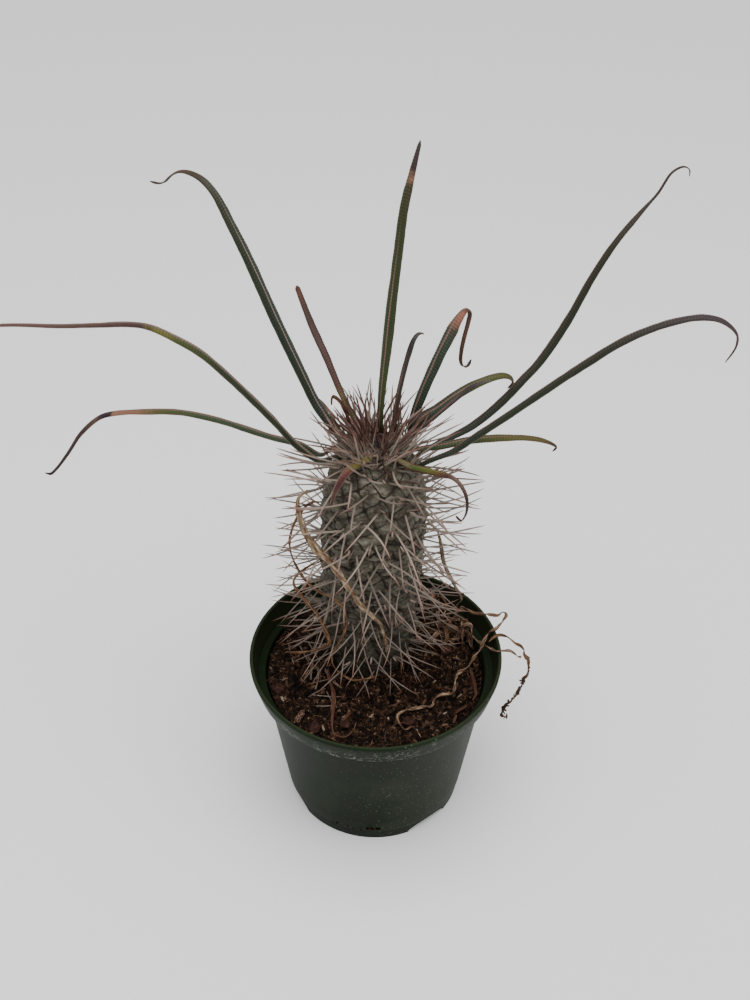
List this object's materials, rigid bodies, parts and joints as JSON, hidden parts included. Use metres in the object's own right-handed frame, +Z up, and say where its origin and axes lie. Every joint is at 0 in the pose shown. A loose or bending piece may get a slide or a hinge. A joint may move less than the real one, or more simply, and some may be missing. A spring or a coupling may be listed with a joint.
{
  "type": "potted madagascar palm",
  "caption": "Small Madagascar palm: a stout grey stem set with long spines in threes and a crown of narrow strap leaves, in a dark green round nursery pot filled with soil.",
  "frame": {"origin": "centre of the flat pad under the pot's floor, in the plane the pot stands on", "axes": "+Z up, +X to the viewer's right, +Y away from the viewer, so the plant's front looks along -Y"},
  "size_m": [0.44, 0.2175, 0.4395],
  "materials": {
    "bark_chip_dark": "matt bark",
    "bark_chip_front": "matt bark",
    "bark_chip_left": "matt bark",
    "bark_chip_pale": "matt bark",
    "bark_chip_right": "matt bark",
    "clod": "rough",
    "dry_leaf_crumpled": "matt dry leaf",
    "dry_leaf_hanging": "matt dry leaf",
    "dry_leaf_long": "matt dry leaf",
    "dry_leaf_looped": "matt dry leaf",
    "dry_leaf_on_soil": "matt dry leaf",
    "dry_leaf_right_wall": "matt dry leaf",
    "dry_leaf_side": "matt dry leaf",
    "dry_runner_long": "matt dry leaf",
    "dry_runner_short": "matt dry leaf",
    "dry_runner_tail": "matt dry leaf",
    "leaf_arched_right": "satin leaf",
    "leaf_back_left": "satin leaf",
    "leaf_far_left": "satin leaf",
    "leaf_folded": "satin leaf",
    "leaf_front_left": "satin leaf",
    "leaf_front_right": "satin leaf",
    "leaf_high_left": "satin leaf",
    "leaf_high_right": "satin leaf",
    "leaf_long_right": "satin leaf",
    "leaf_low_left": "satin leaf",
    "leaf_low_right": "satin leaf",
    "leaf_narrow_right": "satin leaf",
    "leaf_small_back": "satin leaf",
    "leaf_upright": "satin leaf",
    "pebble": "matt",
    "pot": "satin, scuffed",
    "soil": "rough potting mix of bark and peat",
    "stem": "matt bark with spines",
    "withered_blade": "matt dry leaf",
    "withered_hook_high": "satin leaf",
    "withered_hook_low": "matt dry leaf",
    "withered_thread": "matt dry leaf",
    "young_leaf": "satin leaf"
  },
  "bodies": {
    "root": {"bark_chip_dark": "bark_chip_dark", "bark_chip_front": "bark_chip_front", "bark_chip_left": "bark_chip_left", "bark_chip_pale": "bark_chip_pale", "bark_chip_right": "bark_chip_right", "clod": "clod", "dry_leaf_crumpled": "dry_leaf_crumpled", "dry_leaf_hanging": "dry_leaf_hanging", "dry_leaf_long": "dry_leaf_long", "dry_leaf_looped": "dry_leaf_looped", "dry_leaf_on_soil": "dry_leaf_on_soil", "dry_leaf_right_wall": "dry_leaf_right_wall", "dry_leaf_side": "dry_leaf_side", "dry_runner_long": "dry_runner_long", "dry_runner_short": "dry_runner_short", "dry_runner_tail": "dry_runner_tail", "leaf_arched_right": "leaf_arched_right", "leaf_back_left": "leaf_back_left", "leaf_far_left": "leaf_far_left", "leaf_folded": "leaf_folded", "leaf_front_left": "leaf_front_left", "leaf_front_right": "leaf_front_right", "leaf_high_left": "leaf_high_left", "leaf_high_right": "leaf_high_right", "leaf_long_right": "leaf_long_right", "leaf_low_left": "leaf_low_left", "leaf_low_right": "leaf_low_right", "leaf_narrow_right": "leaf_narrow_right", "leaf_small_back": "leaf_small_back", "leaf_upright": "leaf_upright", "pebble": "pebble", "pot": "pot", "soil": "soil", "stem": "stem", "withered_blade": "withered_blade", "withered_hook_high": "withered_hook_high", "withered_hook_low": "withered_hook_low", "withered_thread": "withered_thread", "young_leaf": "young_leaf"}
  },
  "joints": []
}
